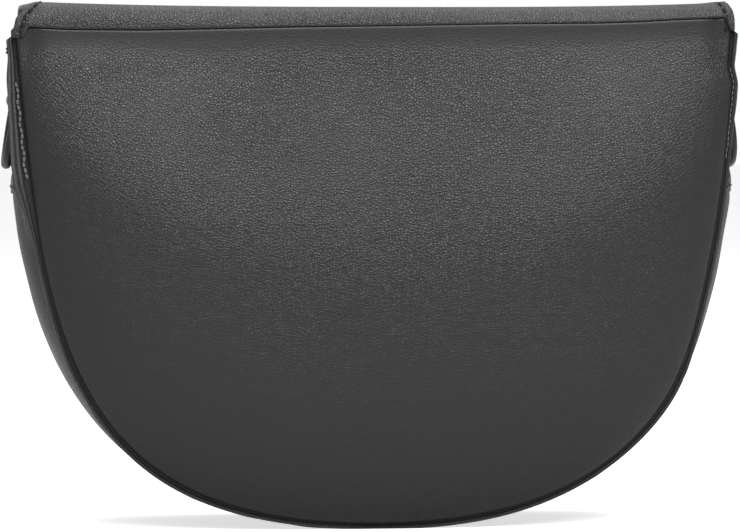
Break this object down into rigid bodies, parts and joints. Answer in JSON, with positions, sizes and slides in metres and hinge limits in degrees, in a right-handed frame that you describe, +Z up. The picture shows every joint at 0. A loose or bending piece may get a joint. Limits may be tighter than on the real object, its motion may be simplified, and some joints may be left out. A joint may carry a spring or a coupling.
{
  "type": "saddle handbag",
  "caption": "Small saddle-shaped shoulder bag in dark pebbled leather: D-shaped panels, a gusset, a full front flap, side strap rings and inner pockets.",
  "frame": {"origin": "middle of the base, where the two seam lips rest on a surface", "axes": "+X across the bag, to the left of the picture; +Y out of the back panel; +Z up"},
  "size_m": [0.2566, 0.0774, 0.18],
  "materials": {
    "leather": "pebbled, semi-matt",
    "lining": "plain woven lining cloth",
    "foam": "foam sheet, hidden",
    "board": "fibre board, hidden",
    "hardware": "gunmetal, satin",
    "magnet": "plated, hidden",
    "zip_tape": "woven tape"
  },
  "bodies": {
    "bag_body": {"back_panel": "leather", "front_panel": "leather", "gusset": "leather", "back_padding": "foam", "front_padding": "foam", "back_lining": "lining", "front_lining": "lining", "gusset_lining": "lining", "base_board": "board", "back_facing": "leather", "front_facing": "leather", "gusset_patch_left": "leather", "gusset_patch_right": "leather", "strap_tab_left": "leather", "strap_tab_right": "leather", "zip_tapes": "zip_tape", "zip_chain": "hardware", "zip_pocket": "lining", "slip_pocket": "lining", "panel_magnet": "magnet", "flap_root": "leather"},
    "flap_top": {"flap_top_leather": "leather", "flap_top_backing": "lining"},
    "flap_front": {"flap_front_leather": "leather", "flap_front_stiffener": "board", "flap_front_backing": "lining", "flap_magnet": "magnet"},
    "ring_left": {"d_ring_left": "hardware"},
    "ring_right": {"d_ring_right": "hardware"},
    "slider": {"zip_slider": "hardware"},
    "pull": {"zip_pull": "hardware"}
  },
  "joints": [
    {"name": "flap_lift", "type": "hinge", "parent": "bag_body", "child": "flap_top", "pos_m": [0, 0.028, 0.17465], "axis": [-1, 0, 0], "range_deg": [0, 170]},
    {"name": "flap_fold", "type": "hinge", "parent": "flap_top", "child": "flap_front", "pos_m": [0, -0.0337, 0.16985], "axis": [-1, 0, 0], "range_deg": [0, 100]},
    {"name": "ring_left_swing", "type": "hinge", "parent": "bag_body", "child": "ring_left", "pos_m": [-0.1231, 0, 0.147], "axis": [0, 1, 0], "range_deg": [0, 150]},
    {"name": "ring_right_swing", "type": "hinge", "parent": "bag_body", "child": "ring_right", "pos_m": [0.1231, 0, 0.147], "axis": [0, -1, 0], "range_deg": [0, 150]},
    {"name": "slider_travel", "type": "slide", "parent": "bag_body", "child": "slider", "axis": [-1, 0, 0], "range_m": [0, 0.138]},
    {"name": "pull_swing", "type": "hinge", "parent": "slider", "child": "pull", "pos_m": [0.0695, 0.0175, 0.148], "axis": [-1, 0, 0], "range_deg": [-5, 160]}
  ]
}
